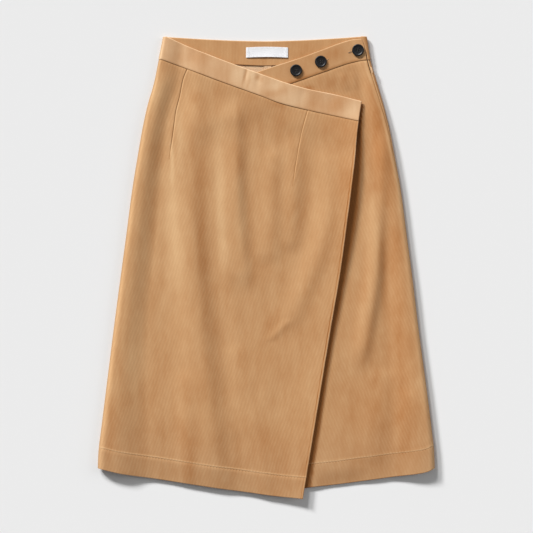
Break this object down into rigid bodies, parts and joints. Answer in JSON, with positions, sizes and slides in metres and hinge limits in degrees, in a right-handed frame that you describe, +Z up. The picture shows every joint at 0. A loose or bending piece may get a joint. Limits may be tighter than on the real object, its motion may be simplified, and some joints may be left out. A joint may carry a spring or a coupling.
{
  "type": "wrap skirt",
  "caption": "Knee-to-midi A-line wrap skirt in camel corduroy, laid flat: the over front wraps across a buttoned under front, with bands on top and a blank label inside the back.",
  "frame": {"origin": "middle of the footprint, on the surface that the skirt lies on", "axes": "+Y from the hem to the waist, +X to the viewer's right when the front is seen, +Z up out of the surface"},
  "size_m": [0.5767, 0.7913, 0.0151],
  "materials": {
    "cord": "camel cotton corduroy with a soft nap and fine ribs",
    "cord_band": "the same corduroy with its nap lying the other way, so it looks paler",
    "cord_inside": "pale flat wrong side of the corduroy",
    "label_white": "plain white woven satin label, blank",
    "button_black": "polished black with a raised rim"
  },
  "bodies": {
    "root": {"back_left": "cord", "back_right": "cord", "centre_back_seam": "cord_inside", "back_waistband": "cord", "front_under": "cord", "under_waistband": "cord", "front_over": "cord", "over_waistband": "cord_band", "label": "label_white", "side_tab": "cord_inside", "button_1": "button_black", "button_2": "button_black", "button_3": "button_black"}
  },
  "joints": []
}
